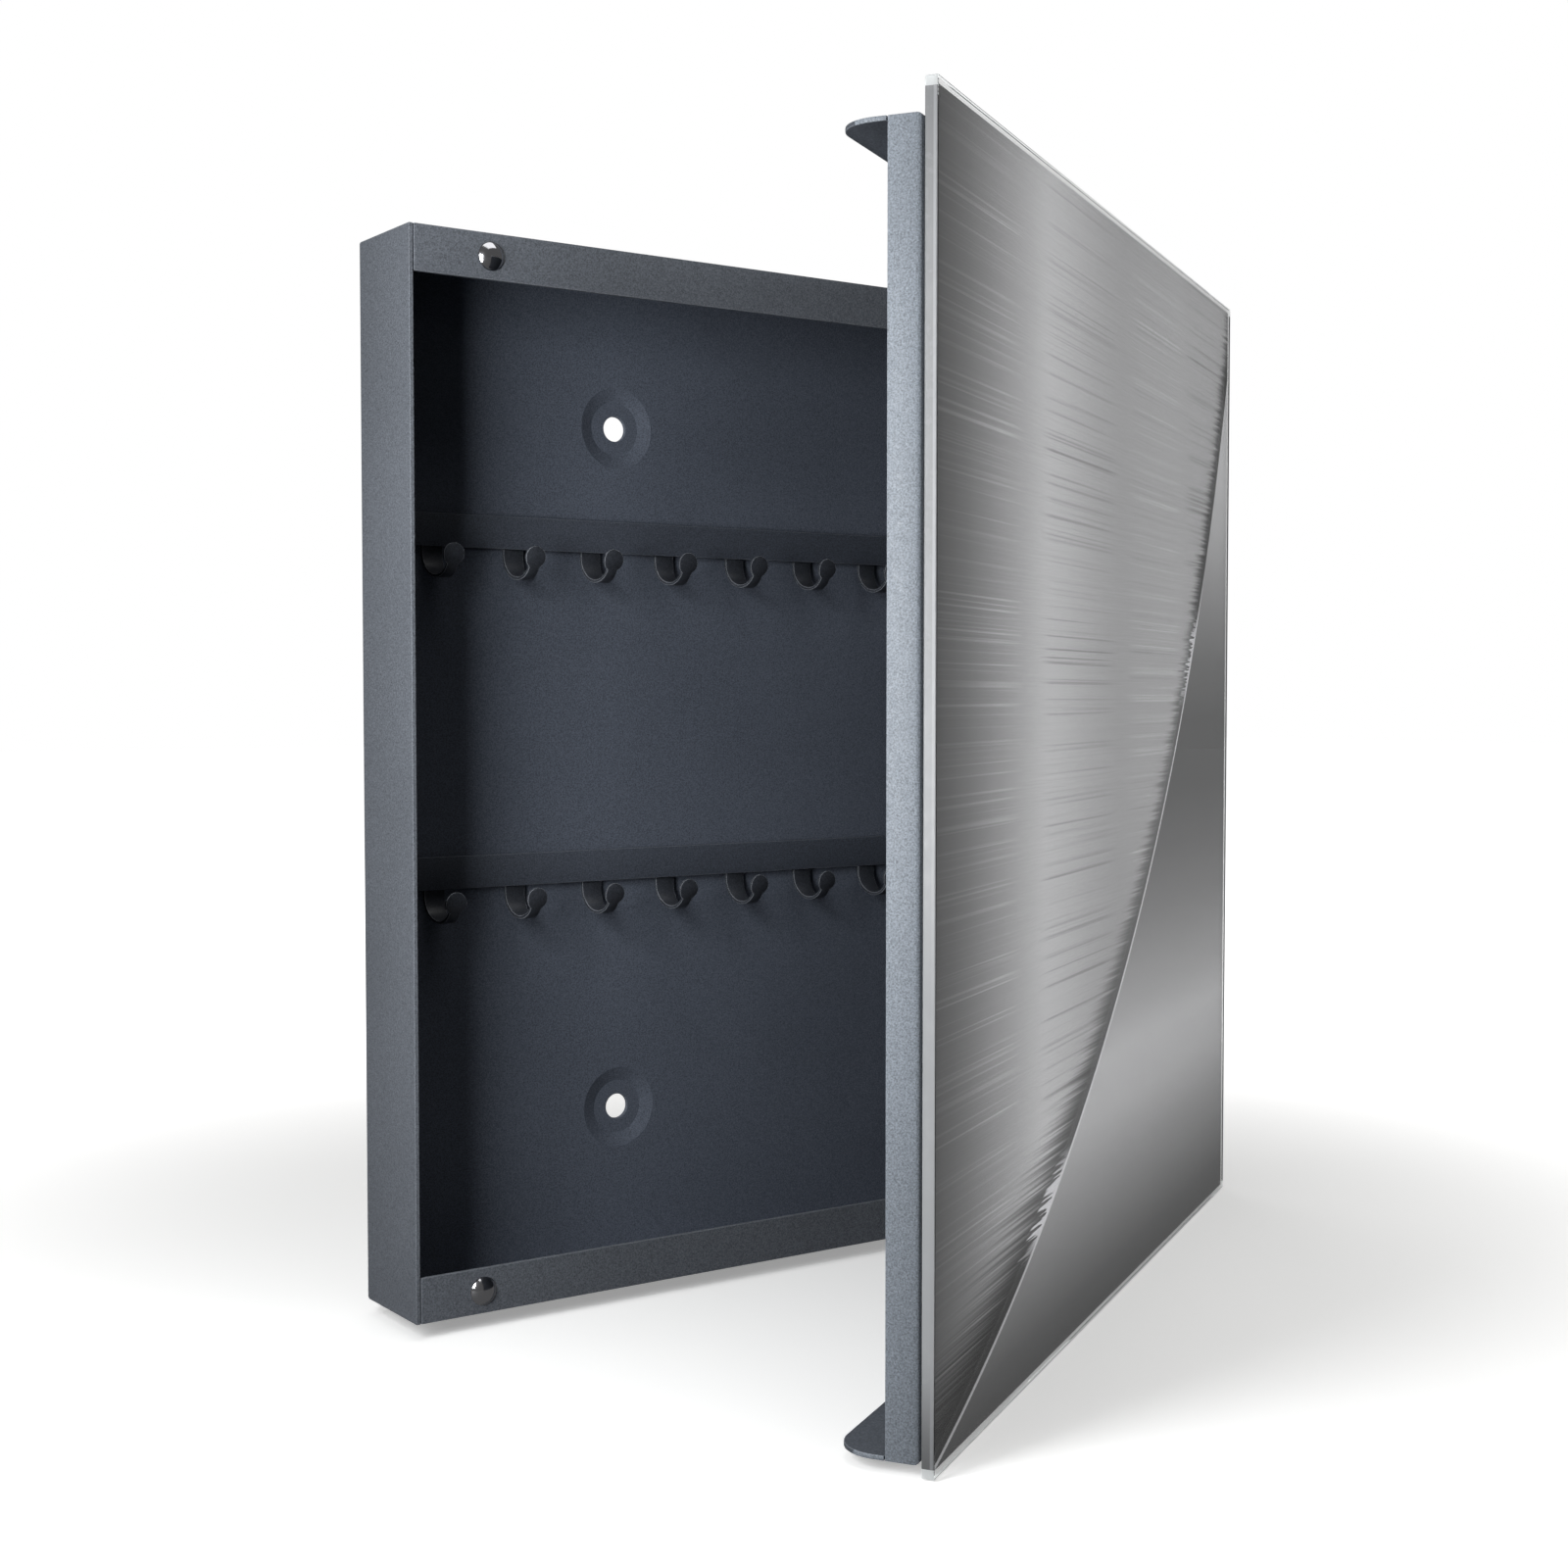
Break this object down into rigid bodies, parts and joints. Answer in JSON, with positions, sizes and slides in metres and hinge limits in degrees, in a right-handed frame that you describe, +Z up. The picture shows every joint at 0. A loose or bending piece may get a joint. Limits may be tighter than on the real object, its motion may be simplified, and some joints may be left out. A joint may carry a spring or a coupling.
{
  "type": "wall key cabinet",
  "caption": "Slim wall key cabinet in folded anthracite steel with rows of key hooks and a hinged glass-fronted door printed as brushed metal.",
  "frame": {"origin": "on the wall plane, behind the middle of the case", "axes": "+Z up, -Y to the front of the cabinet, +X to its right, towards the hinge side; the wall is the plane y = 0"},
  "size_m": [0.3034, 0.1893, 0.3],
  "materials": {
    "powder_coat_anthracite": "fine-textured satin powder coat",
    "powder_coat_rail": "fine-textured satin powder coat",
    "powder_coat_hook": "satin powder coat",
    "powder_coat_door": "fine-textured satin powder coat",
    "polished_nickel": "polished",
    "zinc_plated_steel": "bright zinc plate",
    "spring_steel": "dull spring steel",
    "white_nylon": "matt",
    "clear_glass": "clear, seamed edges",
    "metal_print": "printed picture of brushed and polished steel",
    "bond_tape": "foam tape"
  },
  "bodies": {
    "cabinet": {"cabinet_shell": "powder_coat_anthracite", "hook_rail_upper": "powder_coat_rail", "hook_rail_lower": "powder_coat_rail", "hook_upper_01": "powder_coat_hook", "hook_upper_02": "powder_coat_hook", "hook_upper_03": "powder_coat_hook", "hook_upper_04": "powder_coat_hook", "hook_upper_05": "powder_coat_hook", "hook_upper_06": "powder_coat_hook", "hook_upper_07": "powder_coat_hook", "hook_upper_08": "powder_coat_hook", "hook_upper_09": "powder_coat_hook", "hook_upper_10": "powder_coat_hook", "hook_upper_11": "powder_coat_hook", "hook_lower_01": "powder_coat_hook", "hook_lower_02": "powder_coat_hook", "hook_lower_03": "powder_coat_hook", "hook_lower_04": "powder_coat_hook", "hook_lower_05": "powder_coat_hook", "hook_lower_06": "powder_coat_hook", "hook_lower_07": "powder_coat_hook", "hook_lower_08": "powder_coat_hook", "hook_lower_09": "powder_coat_hook", "hook_lower_10": "powder_coat_hook", "hook_lower_11": "powder_coat_hook", "magnet_stud_top": "polished_nickel", "magnet_stud_bottom": "polished_nickel", "stud_retainer_top": "spring_steel", "stud_retainer_bottom": "spring_steel", "pivot_pin_top": "zinc_plated_steel", "pivot_pin_bottom": "zinc_plated_steel", "pivot_washer_top": "white_nylon", "pivot_washer_bottom": "white_nylon", "pin_retainer_top": "spring_steel", "pin_retainer_bottom": "spring_steel"},
    "door": {"door_tray": "powder_coat_door", "glass_panel": "clear_glass", "print_layer": "metal_print", "bond_tape_left": "bond_tape", "bond_tape_right": "bond_tape", "bond_tape_top": "bond_tape", "bond_tape_bottom": "bond_tape"}
  },
  "joints": [
    {"name": "door_hinge", "type": "hinge", "parent": "cabinet", "child": "door", "pos_m": [0.1399, -0.0246, 0], "axis": [0, 0, 1], "range_deg": [-31.7, 78.3]}
  ]
}
